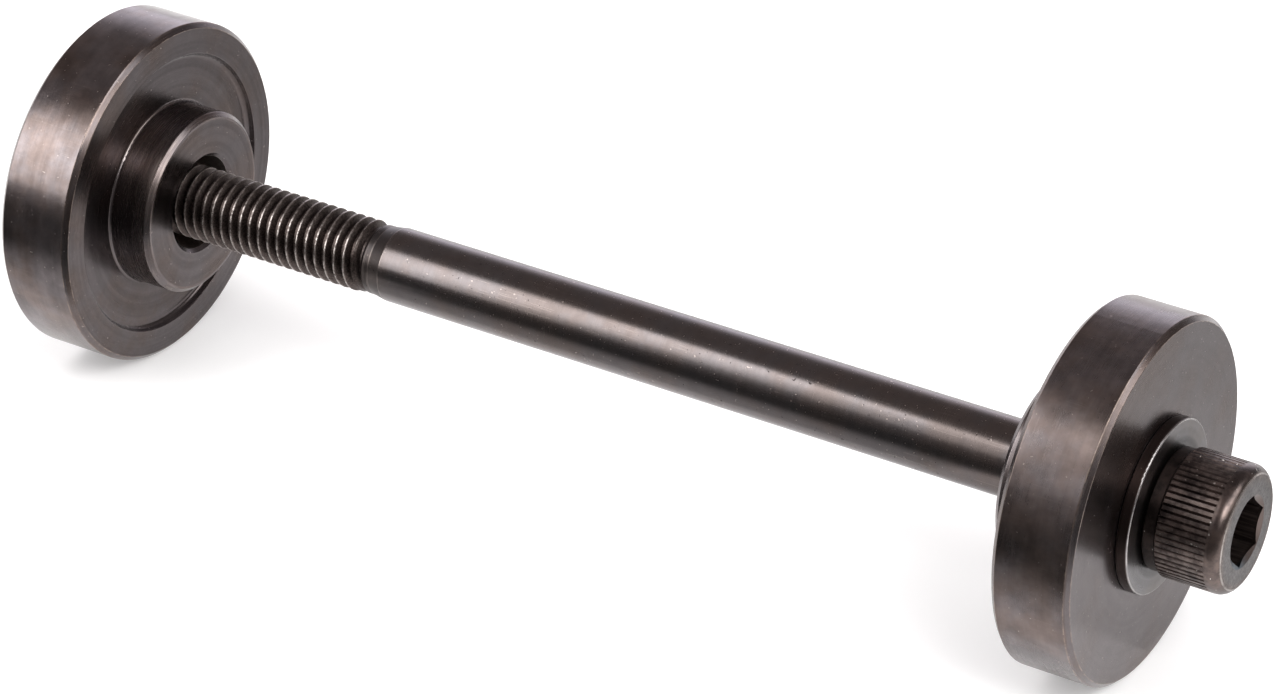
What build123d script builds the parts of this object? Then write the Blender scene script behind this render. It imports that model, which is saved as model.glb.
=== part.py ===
"""Hand press for bottom-bracket cups: a long socket-head screw draws two stepped discs together.

Frame, in millimetres: +X runs along the screw towards its head, and +Z is up. The press lies on the rims
of its two discs. The origin is on that resting plane, straight under the middle of the screw.
"""
from build123d import *
import math
import os

# Screw: M10 x 1.5, 160 long, socket head
SCREW_LENGTH = 160.0          # tip to bearing face of the head
THREAD_LENGTH = 45.9
PITCH = 1.5
THREAD_R = 4.93               # crest of the external thread
THREAD_DEPTH = 0.85
SHANK_R = 5.0
NECK_R = 4.68                 # rolled neck where the thread runs out
NECK_CONE = 0.7               # length of the cone from the thread's root up to the neck
NECK_END = 46.8               # from the tip
SHOULDER_END = 48.6           # from the tip: full shank again, after a shallow cone
SHOULDER_ROUND = 0.5
RUNOUT_LENGTH = 1.8
TIP_CHAMFER = 1.1
ROD_LEAD = 2.0                # plain rod past each end of a thread, cut away later
RIDGE_BITE = 0.1              # how far the helical ridge reaches into its rod
RUNOUT_OVERLAP = 0.3          # how far the thread's rod reaches into the neck

# Screw head
HEAD_HEIGHT = 10.5
COLLAR_R = 7.8
COLLAR_LENGTH = 1.8
COLLAR_CHAMFER = 0.4
KNURL_R = 8.2
KNURL_ROOT_R = 7.97
KNURL_END = 8.7               # from the bearing face
KNURL_RUNOUT = 0.4            # ramp where the knurl ends
KNURL_RIDGES = 64
KNURL_CREST = 0.36            # share of each ridge's pitch that is crest
END_FACE_R = 7.2              # flat end face
END_CONE = 0.55               # the end slopes back this far from its flat face to the corner
END_ROUND = 1.7               # rounds that corner into the knurled side
END_EDGE = 0.12
SOCKET_FLATS = 8.0
SOCKET_DEPTH = 6.0
SOCKET_ANGLE = 13.0           # one corner of the hexagon, from +Y towards +Z
SOCKET_MOUTH_R = 4.72
SOCKET_MOUTH_DEPTH = 0.75     # countersink, measured to SOCKET_MOUTH_ROOT_R
SOCKET_MOUTH_ROOT_R = 3.4
DRILL_POINT = 1.6             # cone under the hexagon
DRILL_POINT_INSET = 0.1       # the point is a little narrower than the flats

# Washer
WASHER_R = 11.2
WASHER_THICKNESS = 1.6
WASHER_ROUND = 0.3

# Discs
DISC_R = 23.5
NUT_DISC_THICKNESS = 10.8     # outer face to pressing face
PRESS_DISC_THICKNESS = 10.4
RIM_CHAMFER = 0.65
EDGE_BREAK = 0.15             # small radius on each turned corner
BOSS_R = 12.5
BOSS_HEIGHT = 5.2             # above the pressing face
BOSS_CHAMFER = 0.6
BOSS_FILLET = 0.4
RECESS_DEPTH = 1.0
RECESS_R = 18.9               # foot of the recess wall, before its fillet
RECESS_MOUTH_R = 19.35        # inner edge of the pressing face
RECESS_FILLET = 0.8
BORE_R = 5.25                 # clearance on the screw: press disc and washer
BORE_CHAMFER = 0.5
MOUTH_R = 6.45                # counterbore in the threaded disc's boss
MOUTH_DEPTH = 6.0
THREAD_MOUTH_R = 5.38         # countersink at each end of the internal thread
TAP_DRILL_UNDERSIZE = 0.2     # the drilled hole is narrower than the core that the tap cuts
TIP_PROTRUSION = 1.2          # screw tip past the threaded disc's outer face

# Running clearance of the internal thread
CREST_CLEARANCE = 0.10
FLANK_CLEARANCE = 0.05

# Stations along the screw
AXIS_Z = DISC_R
TIP_X = -(SCREW_LENGTH + HEAD_HEIGHT) / 2
HEAD_X = TIP_X + SCREW_LENGTH
PRESS_FACE_X = HEAD_X - WASHER_THICKNESS          # outer face of the press disc
NUT_FACE_X = TIP_X + TIP_PROTRUSION               # outer face of the threaded disc

HALF_FLANK = math.tan(math.radians(30))           # metric thread flank
ROOT_R = THREAD_R - THREAD_DEPTH                  # root of the external thread
CLEAR = 0.1                                       # how far a cutting or hidden shape clears a surface


def on_axis(x, shape):
    """Lays a shape built along +Z on the screw's axis, with its base at x."""
    return Location((x, 0, AXIS_Z), (0, 90, 0)) * shape


def turned(outline, rounds=()):
    """Revolves a closed (radius, height) outline about +Z. rounds is a list of (corner, radius)."""
    face = make_face(Plane.XZ * Polyline(*outline, close=True))
    for (r, h), radius in rounds:
        corner = face.vertices().sort_by_distance(Vector(r, 0, h))[0]
        face = fillet(corner, radius)
    return revolve(face, axis=Axis.Z)


def thread_rod(core_r, widen, start, ridge_length, rod_length):
    """A plain rod about +Z with a right-hand helical ridge on it, wider by widen on each flank.

    The ridge starts at start, a whole number of pitches from height 0, so every rod is in phase.
    """
    crest = PITCH / 8 + 2 * widen
    root = crest + 2 * THREAD_DEPTH * HALF_FLANK
    section_plane = Plane(origin=(core_r, 0, 0), x_dir=(1, 0, 0), z_dir=(0, -1, 0))
    section = make_face(section_plane * Polyline(
        (-RIDGE_BITE, -root / 2 - RIDGE_BITE * HALF_FLANK),
        (THREAD_DEPTH, -crest / 2),
        (THREAD_DEPTH, crest / 2),
        (-RIDGE_BITE, root / 2 + RIDGE_BITE * HALF_FLANK),
        close=True))
    ridge = sweep(section, path=Helix(pitch=PITCH, height=ridge_length, radius=core_r), is_frenet=True)
    rod = Cylinder(core_r, rod_length, align=(Align.CENTER, Align.CENTER, Align.MIN))
    return Location((0, 0, start - ROD_LEAD)) * rod + Location((0, 0, start)) * ridge


def screw_thread():
    """The external thread, tip at height 0, with its tip chamfer and its fading run-out."""
    rod = thread_rod(ROOT_R, 0, 0, THREAD_LENGTH - PITCH / 2, THREAD_LENGTH + 2 * ROD_LEAD)
    clear_r = THREAD_R + CLEAR
    rod_end = THREAD_LENGTH + RUNOUT_OVERLAP
    envelope = turned([
        (0, 0),
        (THREAD_R - TIP_CHAMFER, 0),
        (clear_r, TIP_CHAMFER + CLEAR),
        (clear_r, THREAD_LENGTH - RUNOUT_LENGTH),
        (ROOT_R - CLEAR, rod_end),
        (0, rod_end)])
    return rod & envelope


def knurled_head():
    """The head, bearing face at height 0: plain collar, straight knurl, rounded end and hexagon socket."""
    clear_r = KNURL_R + CLEAR
    blank = turned([
        (0, 0),
        (COLLAR_R - COLLAR_CHAMFER, 0),
        (COLLAR_R, COLLAR_CHAMFER),
        (COLLAR_R, COLLAR_LENGTH),
        (KNURL_R, COLLAR_LENGTH + COLLAR_CHAMFER),
        (KNURL_R, HEAD_HEIGHT - END_CONE),
        (END_FACE_R, HEAD_HEIGHT),
        (0, HEAD_HEIGHT)],
        [((KNURL_R, HEAD_HEIGHT - END_CONE), END_ROUND), ((END_FACE_R, HEAD_HEIGHT), END_EDGE)])
    ridges = []
    for i in range(KNURL_RIDGES):
        for share, r in ((-KNURL_CREST / 2, clear_r), (KNURL_CREST / 2, clear_r), (0.5, KNURL_ROOT_R)):
            a = 2 * math.pi * (i + share) / KNURL_RIDGES
            ridges.append((r * math.cos(a), r * math.sin(a)))
    knurl = extrude(make_face(Polyline(*ridges, close=True)), KNURL_END)
    end_cap = turned([
        (0, KNURL_END - KNURL_RUNOUT),
        (KNURL_ROOT_R - CLEAR, KNURL_END - KNURL_RUNOUT),
        (clear_r, KNURL_END),
        (clear_r, HEAD_HEIGHT),
        (0, HEAD_HEIGHT)])
    return (blank & (knurl + end_cap)) - hex_socket()


def hex_socket():
    """The space of the hexagon socket, with its drilled point and the turned countersink at its mouth."""
    corner_r = SOCKET_FLATS / 2 / math.cos(math.radians(30))
    # once the screw is laid down, local +Y stays +Y and local -X points up
    hexagon = Rotation(0, 0, 90 + SOCKET_ANGLE) * RegularPolygon(corner_r, 6)
    bottom = HEAD_HEIGHT - SOCKET_DEPTH
    prism = Location((0, 0, bottom)) * extrude(hexagon, SOCKET_DEPTH)
    point_r = SOCKET_FLATS / 2 - DRILL_POINT_INSET
    point = turned([(0, bottom - DRILL_POINT), (point_r, bottom), (0, bottom)])
    countersink = turned([
        (0, HEAD_HEIGHT - SOCKET_MOUTH_DEPTH),
        (SOCKET_MOUTH_ROOT_R, HEAD_HEIGHT - SOCKET_MOUTH_DEPTH),
        (SOCKET_MOUTH_R, HEAD_HEIGHT),
        (0, HEAD_HEIGHT)])
    return prism + point + countersink


def bolt():
    """The M10 screw in one piece: thread, rolled neck, plain shank and head."""
    neck_foot = THREAD_LENGTH - NECK_CONE
    shank_end = SCREW_LENGTH + COLLAR_LENGTH
    shank = turned([
        (0, neck_foot - RUNOUT_OVERLAP),
        (ROOT_R - CLEAR, neck_foot),
        (NECK_R, THREAD_LENGTH),
        (NECK_R, NECK_END),
        (SHANK_R, SHOULDER_END),
        (SHANK_R, shank_end),
        (0, shank_end)],
        [((NECK_R, NECK_END), SHOULDER_ROUND), ((SHANK_R, SHOULDER_END), SHOULDER_ROUND)])
    head = Location((0, 0, SCREW_LENGTH)) * knurled_head()
    return on_axis(TIP_X, screw_thread() + shank + head)


def washer():
    """Plain washer between the head and the press disc."""
    ring = turned([
        (BORE_R, 0),
        (WASHER_R, 0),
        (WASHER_R, WASHER_THICKNESS),
        (BORE_R, WASHER_THICKNESS)],
        [((WASHER_R, 0), WASHER_ROUND), ((WASHER_R, WASHER_THICKNESS), WASHER_ROUND)])
    return on_axis(PRESS_FACE_X, ring)


def stepped_disc(thickness, bore_outline):
    """A turned disc, outer face at height 0: chamfered rim, pressing face, recess and pilot boss.

    bore_outline closes the outline, from the middle of the boss face back to the middle of the outer face.
    """
    top = thickness + BOSS_HEIGHT
    floor = thickness - RECESS_DEPTH
    rim_edges = [
        (DISC_R - RIM_CHAMFER, 0),
        (DISC_R, RIM_CHAMFER),
        (DISC_R, thickness - RIM_CHAMFER),
        (DISC_R - RIM_CHAMFER, thickness)]
    boss_edges = [(BOSS_R, top - BOSS_CHAMFER), (BOSS_R - BOSS_CHAMFER, top)]
    recess_edge = (RECESS_MOUTH_R, thickness)
    recess_root = (RECESS_R, floor)
    boss_root = (BOSS_R, floor)
    rounds = [(edge, EDGE_BREAK) for edge in rim_edges + [recess_edge] + boss_edges]
    rounds += [(recess_root, RECESS_FILLET), (boss_root, BOSS_FILLET)]
    outline = rim_edges + [recess_edge, recess_root, boss_root] + boss_edges + bore_outline
    return turned(outline, rounds)


def press_disc():
    """The disc at the head: its plain bore slides on the screw."""
    length = PRESS_DISC_THICKNESS + BOSS_HEIGHT
    disc = stepped_disc(PRESS_DISC_THICKNESS, [
        (BORE_R + BORE_CHAMFER, length),
        (BORE_R, length - BORE_CHAMFER),
        (BORE_R, BORE_CHAMFER),
        (BORE_R + BORE_CHAMFER, 0)])
    return Location((PRESS_FACE_X, 0, AXIS_Z), (0, -90, 0)) * disc


def nut_disc():
    """The disc at the tip: threaded behind a counterbored mouth, and in mesh with the screw at rest."""
    core_r = ROOT_R + CREST_CLEARANCE
    drilled_r = core_r - TAP_DRILL_UNDERSIZE
    length = NUT_DISC_THICKNESS + BOSS_HEIGHT
    thread_end = length - MOUTH_DEPTH
    disc = stepped_disc(NUT_DISC_THICKNESS, [
        (MOUTH_R + BORE_CHAMFER, length),
        (MOUTH_R, length - BORE_CHAMFER),
        (MOUTH_R, thread_end),
        (THREAD_MOUTH_R, thread_end),
        (drilled_r, thread_end - (THREAD_MOUTH_R - drilled_r)),
        (drilled_r, THREAD_MOUTH_R - drilled_r),
        (THREAD_MOUTH_R, 0)])
    # the tap runs out in the counterbore at one end and outside the disc at the other
    tap = thread_rod(core_r, FLANK_CLEARANCE, -PITCH, thread_end + 3 * PITCH, thread_end + 8 * PITCH)
    return on_axis(NUT_FACE_X, disc) - on_axis(TIP_X, tap)


def main():
    os.makedirs("parts", exist_ok=True)
    for make in (bolt, washer, press_disc, nut_disc):
        shape = make()
        export_step(shape, f"parts/{make.__name__}.step")


main()
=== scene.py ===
"""Looks for the bottom-bracket cup press: black-oxide steel on a pale floor in soft studio light."""
from collections import namedtuple
import math

import bpy
from mathutils import Matrix, Vector


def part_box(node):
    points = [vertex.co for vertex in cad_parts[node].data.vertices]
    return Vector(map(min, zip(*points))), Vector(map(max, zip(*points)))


MM = 0.001

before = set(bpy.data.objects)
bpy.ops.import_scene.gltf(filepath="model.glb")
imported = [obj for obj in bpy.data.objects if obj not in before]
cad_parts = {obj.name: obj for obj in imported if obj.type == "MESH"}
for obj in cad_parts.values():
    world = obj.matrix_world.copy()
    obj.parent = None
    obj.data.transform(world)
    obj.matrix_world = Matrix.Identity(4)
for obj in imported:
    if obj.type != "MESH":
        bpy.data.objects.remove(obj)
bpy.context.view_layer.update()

# Stations along the screw, from the CAD boxes
AXIS_Z = sum(corner.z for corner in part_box("bolt")) / 2
TIP_X, HEAD_TOP_X = (corner.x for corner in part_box("bolt"))
HEAD_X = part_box("washer")[1].x                       # bearing face of the head
HEAD_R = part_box("bolt")[1].y
DISC_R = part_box("nut_disc")[1].y
WASHER_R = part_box("washer")[1].y

# Stations that the boxes don't show
THREAD_END = TIP_X + 45.9 * MM
CONE_START = TIP_X + 46.8 * MM
SHANK_START = TIP_X + 48.6 * MM
THREAD_CREST_R = 4.93 * MM
KNURL_START = HEAD_X + 2.2 * MM
KNURL_END = HEAD_X + 8.6 * MM
END_FACE_R = 7.2 * MM
SOCKET_MOUTH_R = 4.72 * MM
BOSS_R = 12.5 * MM
BOSS_HEIGHT = 5.2 * MM
COUNTERBORE_R = 6.45 * MM
CLEARANCE_R = 5.25 * MM
RIM_CHAMFER = 0.65 * MM

# Colours of the black-oxide finish
GREY = (0.150, 0.132, 0.134)
BROWN = (0.142, 0.112, 0.103)
DARK = (0.062, 0.047, 0.043)
# Painted reflection: a blue for one side of the socket's mouth
BLUE_PAINTED_REFLECTION = (0.085, 0.108, 0.128)
SHANK_GREY = (0.128, 0.116, 0.117)
SHANK_BROWN = (0.126, 0.105, 0.099)
FORGED_BROWN = (0.165, 0.118, 0.098)
END_GREY = (0.136, 0.127, 0.126)
END_BROWN = (0.158, 0.124, 0.109)
WASHER_GREY = (0.175, 0.168, 0.172)
WASHER_BROWN = (0.165, 0.150, 0.145)
PIT = (0.030, 0.024, 0.022)

# Colours of steel where the finish is rubbed or nicked
WORN = (0.330, 0.285, 0.262)
WORN_RIM_CORNER = (0.34, 0.27, 0.23)
WORN_THREAD_CREST = (0.42, 0.38, 0.36)
WORN_HEAD_CORNER = (0.40, 0.37, 0.35)
WORN_WASHER_CORNER = (0.44, 0.42, 0.41)
NICK = (0.62, 0.58, 0.55)

# The floor, with a faint glow that fills its shadows
FLOOR_GREY = 0.82
FLOOR_GLOW = 0.33
FLOOR_HALF_WIDTH = 6

# The cards' black, and how high they lie above the floor, the upper ones over the lower
CARD_BLACK = 0.03
LOWER_CARD = 0.4 * MM
UPPER_CARD = 0.6 * MM

# Where the main light stands, and the light of the room around
FRONT_LEFT = (-0.46, -0.71, 0.53)
ROOM_LIGHT = (0.30, 0.265, 0.26)
ROOM_DARK = (0.175, 0.155, 0.15)
ROOM_WALL = (1.88, 1.80, 2.00)

# What a stretch of steel looks like: its colour, its roughness, and its relief in metres
Surface = namedtuple("Surface", "colour roughness height")


# ---------------------------------------------------------------- node building

class NodeTree:
    """A small helper that adds nodes to one node tree. An input is a socket or a plain value."""

    def __init__(self, tree):
        self.tree = tree

    def node(self, kind, **settings):
        node = self.tree.nodes.new(kind)
        for key, value in settings.items():
            setattr(node, key, value)
        return node

    def feed(self, socket, value):
        """Links a socket to value, or sets it where value is a plain number or colour."""
        if isinstance(value, bpy.types.NodeSocket):
            self.tree.links.new(value, socket)
        else:
            socket.default_value = value

    def math(self, operation, *values):
        node = self.node("ShaderNodeMath", operation=operation)
        for socket, value in zip(node.inputs, values):
            self.feed(socket, value)
        return node.outputs[0]

    def vector(self, x, y, z):
        node = self.node("ShaderNodeCombineXYZ")
        for socket, value in zip(node.inputs, (x, y, z)):
            self.feed(socket, value)
        return node.outputs[0]

    def step(self, value, low, high, out_low=0.0, out_high=1.0):
        """A smooth step of value from low to high."""
        node = self.node("ShaderNodeMapRange", interpolation_type="SMOOTHSTEP")
        for socket, item in zip(node.inputs, (value, low, high, out_low, out_high)):
            self.feed(socket, item)
        return node.outputs[0]

    def band(self, value, low, high, blur):
        """1 where value lies between low and high, with edges as soft as blur."""
        rise = self.step(value, low - blur, low + blur)
        return self.math("MULTIPLY", rise, self.step(value, high - blur, high + blur, 1.0, 0.0))

    def noise(self, vector, scale, detail=2.0, roughness=0.5):
        node = self.node("ShaderNodeTexNoise", noise_dimensions="3D")
        self.feed(node.inputs["Vector"], vector)
        self.feed(node.inputs["Scale"], scale)
        self.feed(node.inputs["Detail"], detail)
        self.feed(node.inputs["Roughness"], roughness)
        return node.outputs["Fac"]

    def mix(self, factor, a, b):
        """Blends two colours."""
        node = self.node("ShaderNodeMix", data_type="RGBA")
        self.feed(node.inputs["Factor"], factor)
        colours = [socket for socket in node.inputs if socket.type == "RGBA"]
        for socket, item in zip(colours, (a, b)):
            self.feed(socket, (*item, 1.0) if isinstance(item, tuple) else item)
        return next(socket for socket in node.outputs if socket.type == "RGBA")

    def lerp(self, factor, a, b):
        """Blends two numbers."""
        node = self.node("ShaderNodeMix", data_type="FLOAT")
        numbers = [socket for socket in node.inputs if socket.type == "VALUE"]
        for socket, item in zip(numbers, (factor, a, b)):
            self.feed(socket, item)
        return node.outputs[0]

    def shade(self, colour, factor):
        """A colour made lighter or darker by a factor."""
        node = self.node("ShaderNodeVectorMath", operation="SCALE")
        self.feed(node.inputs[0], colour)
        self.feed(node.inputs["Scale"], factor)
        return node.outputs[0]


class Steel(NodeTree):
    """A metallic material on a piece turned about the screw's axis."""

    def __init__(self, name):
        self.material = bpy.data.materials.new(name)
        self.material.use_nodes = True
        super().__init__(self.material.node_tree)
        self.bsdf = self.tree.nodes["Principled BSDF"]
        self.bsdf.inputs["Metallic"].default_value = 1.0
        self.position = self.node("ShaderNodeTexCoord").outputs["Object"]
        split = self.node("ShaderNodeSeparateXYZ")
        self.feed(split.inputs[0], self.position)
        self.x, self.y = split.outputs[0], split.outputs[1]
        self.z = self.math("SUBTRACT", split.outputs[2], AXIS_Z)
        y_squared = self.math("MULTIPLY", self.y, self.y)
        self.radius = self.math("SQRT", self.math("MULTIPLY_ADD", self.z, self.z, y_squared))

    def rings(self, width, drift=0.02, detail=2.0):
        """Noise drawn out around the axis, as a lathe tool leaves it. drift is its change around."""
        node = self.node("ShaderNodeTexNoise", noise_dimensions="4D")
        around = (self.math("MULTIPLY", self.y, drift), self.math("MULTIPLY", self.z, drift))
        self.feed(node.inputs["Vector"], self.vector(self.x, *around))
        self.feed(node.inputs["W"], self.radius)
        self.feed(node.inputs["Scale"], 1 / width)
        self.feed(node.inputs["Detail"], detail)
        return node.outputs["Fac"]

    def blotches(self, size, detail=3.0, roughness=0.55):
        return self.noise(self.position, 1 / size, detail, roughness)

    def specks(self, size, share):
        """Small separate spots: the highest peaks of a fine noise."""
        return self.step(self.blotches(size, 1.0), 1 - share, 1 - share + 0.03)

    def scratches(self, turn, length, width, share):
        """Fine straight scratches, tilted by turn degrees from the axis and broken up."""
        mapping = self.node("ShaderNodeMapping")
        self.feed(mapping.inputs["Vector"], self.position)
        mapping.inputs["Rotation"].default_value = (0.3, math.radians(turn), math.radians(turn))
        mapping.inputs["Scale"].default_value = (1 / length, 1 / width, 1 / width)
        line = self.step(self.noise(mapping.outputs[0], 1.0, 0.0), 0.72, 0.78)
        broken = self.step(self.blotches(4 * MM, 1.0), 1 - share, 1.05 - share)
        return self.math("MULTIPLY", line, broken)

    def blend(self, mask, below, above):
        return Surface(self.mix(mask, below.colour, above.colour),
                       self.lerp(mask, below.roughness, above.roughness),
                       self.lerp(mask, below.height, above.height))

    def oxide(self, grey=GREY, brown=BROWN, roughness=0.25, patch=11 * MM, spread=0.10,
              ring_height=2.2e-6, ring_shade=0.12):
        """The finish that every turned surface starts from: soft patches, tool lines and fine grain."""
        cloud = self.blotches(patch, 4.0, 0.6)
        mottle = self.blotches(patch / 6, 3.0)
        broad = self.rings(0.8 * MM, detail=3.0)
        fine = self.rings(0.16 * MM, 0.05)
        colour = self.mix(self.step(cloud, 0.38, 0.66), grey, brown)
        light = self.step(broad, 0.30, 0.70, 0.86 - ring_shade, 0.86 + ring_shade)
        light = self.math("MULTIPLY", light, self.math("MULTIPLY_ADD", mottle, 0.36, 0.99))
        colour = self.shade(colour, light)
        rough = self.math("MULTIPLY_ADD", cloud, spread, roughness - spread / 2)
        rough = self.math("MULTIPLY_ADD", fine, 0.12, self.math("SUBTRACT", rough, 0.06))
        height = self.math("MULTIPLY", fine, ring_height)
        height = self.math("MULTIPLY_ADD", broad, 1.6 * ring_height, height)
        return Surface(colour, rough, height)

    def worn(self, surface, mask, colour=WORN, roughness=0.30):
        """Bare steel showing through on edges and high spots."""
        return Surface(self.mix(mask, surface.colour, colour),
                       self.lerp(mask, surface.roughness, roughness), surface.height)

    def finish(self, surface):
        bump = self.node("ShaderNodeBump")
        self.feed(bump.inputs["Height"], surface.height)
        bump.inputs["Distance"].default_value = 1.0
        self.feed(self.bsdf.inputs["Normal"], bump.outputs[0])
        self.feed(self.bsdf.inputs["Base Color"], surface.colour)
        self.feed(self.bsdf.inputs["Roughness"], surface.roughness)
        return self.material


# ---------------------------------------------------------------- steels

def disc_edges(s, low_x, high_x):
    """The corners where the rim's chamfers meet the rim and the faces."""
    near_end = s.math("MINIMUM", s.math("SUBTRACT", s.x, low_x), s.math("SUBTRACT", high_x, s.x))
    rim_corner = s.math("MULTIPLY",
                        s.band(near_end, RIM_CHAMFER - 0.07 * MM, RIM_CHAMFER + 0.07 * MM, 0.05 * MM),
                        s.step(s.radius, DISC_R - 0.15 * MM, DISC_R - 0.05 * MM))
    face_r = DISC_R - RIM_CHAMFER
    face_corner = s.math("MULTIPLY", s.band(s.radius, face_r - 0.08 * MM, face_r + 0.05 * MM, 0.04 * MM),
                         s.step(near_end, 0.02 * MM, 0.16 * MM, 1.0, 0.0))
    return s.math("MAXIMUM", rim_corner, face_corner)


def disc_steel(name, rim_x, bore_r, patch, painted_face_shade, ring_shade, rim_roughness, edge_wear):
    """A turned disc: ring marks on its faces, streaks round its boss and handling marks on its rim.

    rim_x is where its rim starts and ends, and bore_r the radius of its bore on the boss side.
    """
    s = Steel(name)
    face = s.oxide(patch=patch, ring_shade=ring_shade)
    grain = s.math("MULTIPLY_ADD", s.blotches(0.5 * MM, 2.0), 0.24, 0.88)
    # Painted shade: the faces are darkened by a factor given per disc, more on the nut disc than on the press
    # disc.
    face = face._replace(colour=s.shade(face.colour, s.math("MULTIPLY", grain, painted_face_shade)))

    rim = s.oxide(roughness=rim_roughness, patch=patch * 0.7, spread=0.16,
                  ring_height=2.6e-6, ring_shade=0.07)
    smudge = s.blotches(5.5 * MM, 5.0, 0.6)
    smudged = s.math("MULTIPLY_ADD", smudge, 0.14, s.math("SUBTRACT", rim.roughness, 0.07))
    rim = Surface(s.shade(rim.colour, s.step(smudge, 0.25, 0.75, 0.72, 1.30)), smudged, rim.height)
    on_rim = s.step(s.radius, DISC_R - 0.3 * MM, DISC_R - 0.1 * MM)

    boss = s.oxide(roughness=0.27, ring_height=4.5e-6)
    streak = s.step(s.rings(0.22 * MM, 0.06, 1.0), 0.50, 0.68)
    boss = s.worn(boss, s.math("MULTIPLY", streak, 0.30))
    middle = sum(rim_x) / 2
    towards_boss = s.math("MULTIPLY", s.math("SUBTRACT", s.x, middle), -math.copysign(1, middle))
    boss_side = s.step(towards_boss, 0.0, 0.2 * MM)
    on_boss = s.math("MULTIPLY", s.band(s.radius, BOSS_R - 0.9 * MM, BOSS_R + 0.25 * MM, 0.1 * MM), boss_side)

    bore = Surface(s.shade(WORN, s.step(grain, 0.90, 1.10, 0.6, 1.0)), s.lerp(grain, 0.1, 0.55), face.height)
    in_bore = s.math("MULTIPLY", s.step(s.radius, bore_r, bore_r + 0.04 * MM, 1.0, 0.0), boss_side)

    steel = s.blend(in_bore, s.blend(on_boss, s.blend(on_rim, face, rim), boss), bore)
    marks = s.math("MAXIMUM", s.scratches(35, 9 * MM, 0.10 * MM, 0.48),
                   s.scratches(-62, 7 * MM, 0.09 * MM, 0.46))
    steel = s.worn(steel, s.math("MULTIPLY", marks, 0.12))
    steel = s.worn(steel, s.math("MULTIPLY", s.specks(0.45 * MM, 0.255), 0.75))
    rub = s.step(s.blotches(1.2 * MM), 0.34, 0.66, 0.05, edge_wear)
    edge = s.math("MULTIPLY", disc_edges(s, *rim_x), rub)
    return s.finish(s.worn(steel, edge, colour=WORN_RIM_CORNER))


def thread_surface(s):
    """Rolled thread: rough flanks painted dark brown as painted shade, with bright, nicked crests."""
    grain = s.blotches(0.22 * MM, 3.0, 0.7)
    # Painted shade: the flanks are painted darker than the rest of the screw.
    painted_shade_flank = Surface(s.shade(s.mix(grain, DARK, BROWN), s.step(grain, 0.3, 0.7, 0.38, 0.90)),
                    s.lerp(grain, 0.27, 0.46), s.math("MULTIPLY", grain, 1.8e-5))
    rubbed = s.step(s.radius, THREAD_CREST_R - 0.22 * MM, THREAD_CREST_R - 0.05 * MM)
    rubbed = s.math("MULTIPLY", rubbed, s.step(s.blotches(0.9 * MM, 3.0), 0.35, 0.65, 0.0, 0.40))
    sparkle = s.step(s.blotches(0.40 * MM, 2.0), 0.36, 0.62, 0.10, 0.85)
    crest = s.step(s.radius, THREAD_CREST_R - 0.06 * MM, THREAD_CREST_R - 0.02 * MM)
    crest = s.math("MULTIPLY", crest, sparkle)
    return s.worn(s.worn(painted_shade_flank, rubbed), crest, colour=WORN_THREAD_CREST, roughness=0.26)


def neck_surface(s, shank):
    """Neck between thread and shank: the shank's finish, darker, with the thread rolls' fine ridges."""
    ridge = s.rings(0.20 * MM, 0.04, 1.0)
    neck = Surface(s.shade(shank.colour, 0.50), s.lerp(ridge, 0.34, 0.44),
                   s.math("MULTIPLY", ridge, 1.6e-5))
    return s.worn(neck, s.step(ridge, 0.52, 0.66, 0.0, 0.35), roughness=0.28)


def shank_surface(s):
    """Drawn shank: smooth, with pin-prick specks, faint patches and a few scratches along it."""
    shank = s.oxide(grey=SHANK_GREY, brown=SHANK_BROWN, roughness=0.235, patch=8 * MM,
                    spread=0.12, ring_height=0.5e-6, ring_shade=0.015)
    pits = s.step(s.noise(s.position, 1 / (0.50 * MM), 2.0), 0.26, 0.32, 1.0, 0.0)
    shank = s.worn(shank, s.math("MULTIPLY", pits, 0.7), colour=PIT, roughness=0.5)
    marks = s.math("MAXIMUM", s.scratches(4, 12 * MM, 0.10 * MM, 0.50),
                   s.scratches(70, 4 * MM, 0.08 * MM, 0.45))
    shank = s.worn(shank, s.math("MULTIPLY", marks, 0.22))
    return s.worn(shank, s.math("MULTIPLY", s.specks(0.42 * MM, 0.27), 0.8))


def knurl_surface(s):
    """Forged head: brown and uneven, with painted shade on its collar and in its grooves, rubbed crests and
    bright nicks.
    """
    cloud = s.blotches(2.2 * MM, 4.0, 0.65)
    grain = s.blotches(0.30 * MM, 2.0)
    colour = s.shade(s.mix(cloud, GREY, FORGED_BROWN), s.step(cloud, 0.3, 0.7, 0.38, 1.02))
    head = Surface(colour, s.lerp(cloud, 0.28, 0.48), s.math("MULTIPLY", grain, 1.1e-5))
    # Painted shade: the collar next to the washer is painted darker.
    painted_shade_collar = s.step(s.x, KNURL_START - 0.5 * MM, KNURL_START, 0.45, 1.0)
    head = head._replace(colour=s.shade(head.colour, painted_shade_collar))
    on_knurl = s.band(s.x, KNURL_START, KNURL_END, 0.15 * MM)
    # Painted shade: the knurl's grooves are painted darker.
    painted_shade_groove = s.step(s.radius, HEAD_R - 0.16 * MM, HEAD_R - 0.06 * MM, 1.0, 0.0)
    painted_shade_groove = s.math("MULTIPLY", on_knurl, painted_shade_groove)
    head = head._replace(colour=s.shade(head.colour, s.math("MULTIPLY_ADD", painted_shade_groove, -0.15, 1.0)))
    rub = s.math("MULTIPLY", on_knurl, s.step(s.radius, HEAD_R - 0.07 * MM, HEAD_R - 0.02 * MM))
    rub = s.math("MULTIPLY", rub, s.step(s.blotches(1.1 * MM), 0.36, 0.62, 0.0, 0.25))
    head = s.worn(head, rub, roughness=0.34)
    on_round = s.step(s.x, KNURL_END, KNURL_END + 0.4 * MM)
    head = head._replace(roughness=s.math("MULTIPLY", head.roughness, s.lerp(on_round, 1.0, 0.78)))
    return s.worn(head, s.specks(0.60 * MM, 0.275), colour=NICK)


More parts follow.
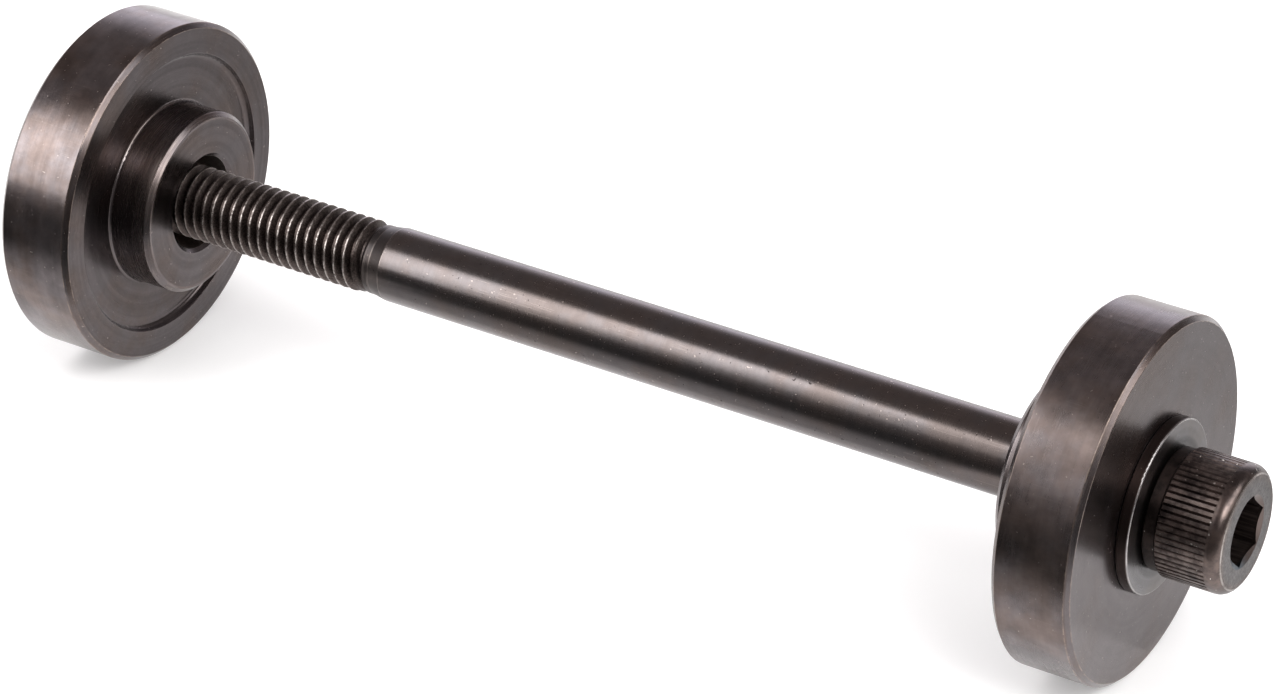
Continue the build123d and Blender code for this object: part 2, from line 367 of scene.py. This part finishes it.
def head_end_surface(s):
    """End face of the head: matt grey with fine pits, browner towards its rim."""
    pit = s.blotches(0.28 * MM, 3.0, 0.65)
    colour = s.mix(s.step(s.radius, 0.72 * HEAD_R, 0.94 * HEAD_R), END_GREY, END_BROWN)
    cloud = s.blotches(1.6 * MM, 3.0)
    shade = s.math("MULTIPLY", s.step(pit, 0.25, 0.70, 0.55, 1.15), s.step(cloud, 0.3, 0.7, 0.75, 1.10))
    return Surface(s.shade(colour, shade), s.lerp(pit, 0.42, 0.26), s.math("MULTIPLY", pit, 1.0e-5))


def socket_surface(s):
    """Inside of the hexagon: dark and dull, with draw marks down its walls."""
    mark = s.noise(s.vector(s.math("MULTIPLY", s.x, 0.05), s.y, s.z), 1 / (0.30 * MM), 2.0)
    return Surface(s.shade(BROWN, s.step(mark, 0.3, 0.7, 0.35, 0.95)), s.lerp(mark, 0.34, 0.55),
                   s.math("MULTIPLY", mark, 8e-6))


def screw_steel():
    """The screw, blended along its length: thread, neck, shank and head."""
    s = Steel("screw_black_oxide")
    thread = thread_surface(s)
    shank = shank_surface(s)
    body = s.blend(s.step(s.x, THREAD_END - 1.2 * MM, THREAD_END), thread, neck_surface(s, shank))
    # Painted shade: the cone up to the shank is painted darker than the shank.
    painted_shade_cone = shank._replace(colour=s.shade(shank.colour, 0.55), roughness=0.36)
    body = s.blend(s.step(s.x, CONE_START - 0.1 * MM, CONE_START + 0.1 * MM), body, painted_shade_cone)
    body = s.blend(s.step(s.x, SHANK_START - 0.15 * MM, SHANK_START), body, shank)
    corner = s.math("MAXIMUM", s.band(s.x, CONE_START - 0.06 * MM, CONE_START + 0.06 * MM, 0.04 * MM),
                    s.band(s.x, SHANK_START - 0.06 * MM, SHANK_START + 0.06 * MM, 0.04 * MM))
    body = s.worn(body, s.math("MULTIPLY", corner, 0.30), roughness=0.24)

    on_head = s.step(s.x, HEAD_X - 0.1 * MM, HEAD_X)
    body = s.blend(on_head, body, knurl_surface(s))
    on_end = s.step(s.x, HEAD_TOP_X - 0.30 * MM, HEAD_TOP_X - 0.06 * MM)
    body = s.blend(on_end, body, head_end_surface(s))
    corner = s.math("MULTIPLY", s.step(s.x, HEAD_TOP_X - 0.5 * MM, HEAD_TOP_X - 0.3 * MM),
                    s.band(s.radius, END_FACE_R, END_FACE_R + 0.20 * MM, 0.05 * MM))
    rub = s.step(s.blotches(1.4 * MM), 0.32, 0.60, 0.25, 0.85)
    body = s.worn(body, s.math("MULTIPLY", corner, rub), colour=WORN_HEAD_CORNER, roughness=0.24)

    in_socket = s.step(s.radius, SOCKET_MOUTH_R - 0.12 * MM, SOCKET_MOUTH_R, 1.0, 0.0)
    in_socket = s.math("MULTIPLY", on_head, in_socket)
    body = s.blend(in_socket, body, socket_surface(s))
    mouth = s.band(s.radius, SOCKET_MOUTH_R - 0.75 * MM, SOCKET_MOUTH_R, 0.08 * MM)
    mouth = s.math("MULTIPLY", mouth, s.step(s.x, HEAD_TOP_X - 0.7 * MM, HEAD_TOP_X - 0.45 * MM))
    # Painted reflection: the socket's mouth is blue on the -Y side and brown on the +Y side.
    mouth_painted_reflection = s.mix(s.step(s.y, -2 * MM, 2 * MM), BLUE_PAINTED_REFLECTION, BROWN)
    return s.finish(s.worn(body, mouth, colour=mouth_painted_reflection, roughness=0.30))


def washer_steel():
    """Flat washer: lighter than the discs, with painted shade near the head, darker on its rim, and with a
    rubbed corner.
    """
    s = Steel("washer_steel")
    steel = s.oxide(grey=WASHER_GREY, brown=WASHER_BROWN, roughness=0.30, patch=6 * MM)
    on_rim = s.step(s.radius, WASHER_R - 0.06 * MM, WASHER_R - 0.02 * MM)
    steel = s.blend(on_rim, steel, steel._replace(colour=DARK, roughness=0.36))
    # Painted shade: the washer's face is darkened in a ring next to the head.
    painted_shade_near_head = s.step(s.radius, HEAD_R + 0.3 * MM, HEAD_R + 1.2 * MM, 0.45, 1.0)
    steel = steel._replace(colour=s.shade(steel.colour, painted_shade_near_head))
    steel = s.worn(steel, s.math("MULTIPLY", s.specks(0.35 * MM, 0.26), 0.6))
    corner = s.band(s.radius, WASHER_R - 0.22 * MM, WASHER_R - 0.08 * MM, 0.05 * MM)
    rub = s.math("MULTIPLY", corner, s.step(s.blotches(1.5 * MM), 0.30, 0.60, 0.25, 0.85))
    return s.finish(s.worn(steel, rub, colour=WORN_WASHER_CORNER, roughness=0.24))


# ---------------------------------------------------------------- stage

def matt_material(name, low_y, high_y, near_grey, far_grey, glow):
    """A matt grey that changes from near_grey to far_grey along Y, with a faint glow as fill light."""
    material = bpy.data.materials.new(name)
    material.use_nodes = True
    s = NodeTree(material.node_tree)
    place = s.node("ShaderNodeSeparateXYZ")
    s.feed(place.inputs[0], s.node("ShaderNodeTexCoord").outputs["Object"])
    grey = s.step(place.outputs[1], low_y, high_y, near_grey, far_grey)
    bsdf = material.node_tree.nodes["Principled BSDF"]
    s.feed(bsdf.inputs["Base Color"], grey)
    s.feed(bsdf.inputs["Emission Color"], grey)
    bsdf.inputs["Emission Strength"].default_value = glow
    bsdf.inputs["Roughness"].default_value = 0.8
    bsdf.inputs["Specular IOR Level"].default_value = 0.2
    return material


def plane(name, corners, material):
    mesh = bpy.data.meshes.new(name)
    mesh.from_pydata(corners, [], [(0, 1, 2, 3)])
    mesh.materials.append(material)
    piece = bpy.data.objects.new(name, mesh)
    bpy.context.scene.collection.objects.link(piece)
    return piece


def rectangle(low, high, z):
    return [(low[0], low[1], z), (high[0], low[1], z), (high[0], high[1], z), (low[0], high[1], z)]


def floor():
    half = FLOOR_HALF_WIDTH
    pale = matt_material("pale_floor", -half, half, FLOOR_GREY, FLOOR_GREY, FLOOR_GLOW)
    plane("floor", rectangle((-half, -half), (half, half), 0), pale)


def card(name, low, high, lift, fade, greys):
    """A card on the table, seen only in reflections, whose grey changes along Y over the fade."""
    piece = plane(name, rectangle(low, high, lift), matt_material(name, *fade, *greys, FLOOR_GLOW))
    piece.visible_camera = False
    piece.visible_diffuse = False
    piece.visible_shadow = False
    piece.visible_transmission = False


def softbox(name, direction, distance, size, radiance, offset=(0, 0), roll=0, in_reflections=True):
    """A rectangular area light of a given radiance, facing the object.

    offset moves it sideways and up in its own plane, and roll turns it there, in degrees.
    """
    light = bpy.data.lights.new(name, "AREA")
    light.shape = "RECTANGLE"
    light.size, light.size_y = size
    light.energy = radiance * size[0] * size[1] * math.pi
    piece = bpy.data.objects.new(name, light)
    out = Vector(direction).normalized()
    side = Vector((0, 0, 1)).cross(out).normalized()
    up = out.cross(side)
    facing = Matrix((side, up, out)).transposed() @ Matrix.Rotation(math.radians(roll), 3, "Z")
    place = Vector((0, 0, AXIS_Z)) + out * distance + side * offset[0] + up * offset[1]
    piece.matrix_world = Matrix.Translation(place) @ facing.to_4x4()
    piece.visible_glossy = in_reflections
    bpy.context.scene.collection.objects.link(piece)


def studio_world():
    """A dim room: a bright wall low down behind on the left, and dark to the front and right."""
    world = bpy.data.worlds.new("studio")
    bpy.context.scene.world = world
    world.use_nodes = True
    s = NodeTree(world.node_tree)
    direction = s.node("ShaderNodeSeparateXYZ")
    s.feed(direction.inputs[0], s.node("ShaderNodeTexCoord").outputs["Generated"])
    x, y, z = direction.outputs
    behind = s.math("MULTIPLY", s.step(y, -0.15, 0.45), s.step(x, -0.10, 0.30, 1.0, 0.0))
    wall = s.math("MULTIPLY", behind, s.step(z, 0.08, 0.60, 1.0, 0.0))
    aside = s.math("MAXIMUM", s.step(y, -0.5, 0.0, 1.0, 0.0), s.step(x, 0.0, 0.3))
    dark = s.math("MULTIPLY", aside, s.step(z, 0.20, 0.50, 1.0, 0.0))
    room = s.mix(dark, ROOM_LIGHT, ROOM_DARK)
    background = world.node_tree.nodes["Background"]
    s.feed(background.inputs["Color"], s.mix(wall, room, ROOM_WALL))


def camera():
    """The photograph's view: 31 degrees round from the front, 31 degrees up, with a long lens."""
    azimuth, elevation, roll = (math.radians(degrees) for degrees in (30.98, 30.78, 0.45))
    distance = 0.6059
    aim = Vector((0.00045, 0, 0.0229))
    sideways_and_up = Vector((-0.000094, -0.000248, 0))
    back = Vector((math.sin(azimuth) * math.cos(elevation),
                   -math.cos(azimuth) * math.cos(elevation),
                   math.sin(elevation)))
    facing = (-back).to_track_quat("-Z", "Y").to_matrix() @ Matrix.Rotation(roll, 3, "Z")
    data = bpy.data.cameras.new("camera")
    data.sensor_width = 36.0
    data.lens = 133.6
    piece = bpy.data.objects.new("camera", data)
    piece.location = aim + back * distance + facing @ sideways_and_up
    piece.rotation_euler = facing.to_euler()
    bpy.context.scene.collection.objects.link(piece)
    bpy.context.scene.camera = piece


# ---------------------------------------------------------------- the scene

def rim_ends(node):
    """Where a disc's rim starts and ends along the screw; its boss points at the middle of the screw."""
    low, high = (corner.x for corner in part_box(node))
    return (low, high - BOSS_HEIGHT) if low < 0 else (low + BOSS_HEIGHT, high)


steels = {
    "bolt": screw_steel(),
    "washer": washer_steel(),
    "nut_disc": disc_steel("nut_disc_black_oxide", rim_ends("nut_disc"), COUNTERBORE_R, patch=9 * MM,
                           painted_face_shade=0.72, ring_shade=0.13, rim_roughness=0.22, edge_wear=0.55),
    "press_disc": disc_steel("press_disc_black_oxide", rim_ends("press_disc"), CLEARANCE_R, patch=13 * MM,
                             painted_face_shade=0.93, ring_shade=0.05, rim_roughness=0.29, edge_wear=0.65),
}
for name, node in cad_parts.items():
    node.material_slots[0].material = steels[name]

floor()
card("front_card", low=(-2, -2), high=(2, -0.015), lift=LOWER_CARD,
     fade=(-0.075, -0.018), greys=(CARD_BLACK, FLOOR_GREY))
card("middle_card", low=(-0.060, -0.070), high=(0.036, -0.010), lift=UPPER_CARD,
     fade=(-0.055, -0.012), greys=(CARD_BLACK, 0.50))
card("back_card", low=(-0.10, 0.006), high=(0.60, 0.13), lift=LOWER_CARD,
     fade=(0.006, 0.075), greys=(FLOOR_GREY, 0.42))
card("right_card", low=(0.074, 0.002), high=(0.60, 0.13), lift=UPPER_CARD,
     fade=(0.006, 0.075), greys=(0.64, 0.40))

studio_world()
softbox("front_left", direction=FRONT_LEFT, distance=0.70, size=(0.24, 0.63), radiance=4.6,
        offset=(-0.095, 0.030), roll=-2)
softbox("front_left_edge", direction=FRONT_LEFT, distance=0.72, size=(0.42, 0.50), radiance=0.9,
        offset=(0.04, 0.16))
softbox("right", direction=(0.78, 0.05, 0.62), distance=1.2, size=(1.1, 0.5), radiance=4.0)
softbox("right_front", direction=(0.60, -0.42, 0.68), distance=1.1, size=(0.36, 0.36), radiance=9.0)
softbox("ceiling_fill", direction=(0.05, 0.02, 1), distance=1.5, size=(2.4, 2.4), radiance=1.25,
        in_reflections=False)
camera()
bpy.context.scene.view_settings.view_transform = "Standard"
